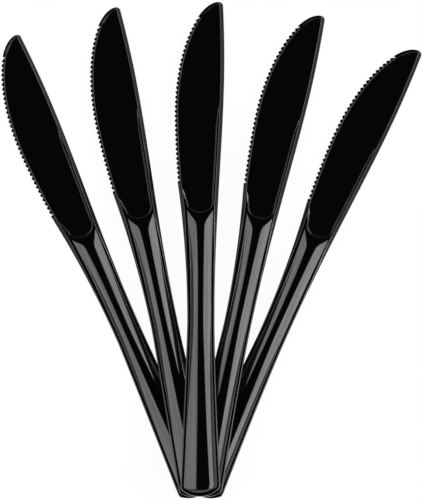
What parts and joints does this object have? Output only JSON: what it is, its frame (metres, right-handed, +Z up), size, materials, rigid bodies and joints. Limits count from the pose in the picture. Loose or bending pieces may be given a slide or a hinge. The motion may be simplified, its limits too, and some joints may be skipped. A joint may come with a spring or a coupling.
{
  "type": "plastic cutlery pack",
  "caption": "Fan of loose glossy black disposable table knives, each with a hollow arched handle, a scooped shoulder and a finely toothed blade.",
  "frame": {"origin": "on the table, under the middle of the fan's bounding box", "axes": "+Y along the middle knife from its handle end to its tip, +Z up from the table, -X on the cutting edges' side"},
  "size_m": [0.1612, 0.1904, 0.0202],
  "materials": {
    "black_polystyrene": "polished mould, high gloss"
  },
  "bodies": {
    "root": {"knife_1": "black_polystyrene", "knife_2": "black_polystyrene", "knife_3": "black_polystyrene", "knife_4": "black_polystyrene", "knife_5": "black_polystyrene"}
  },
  "joints": []
}
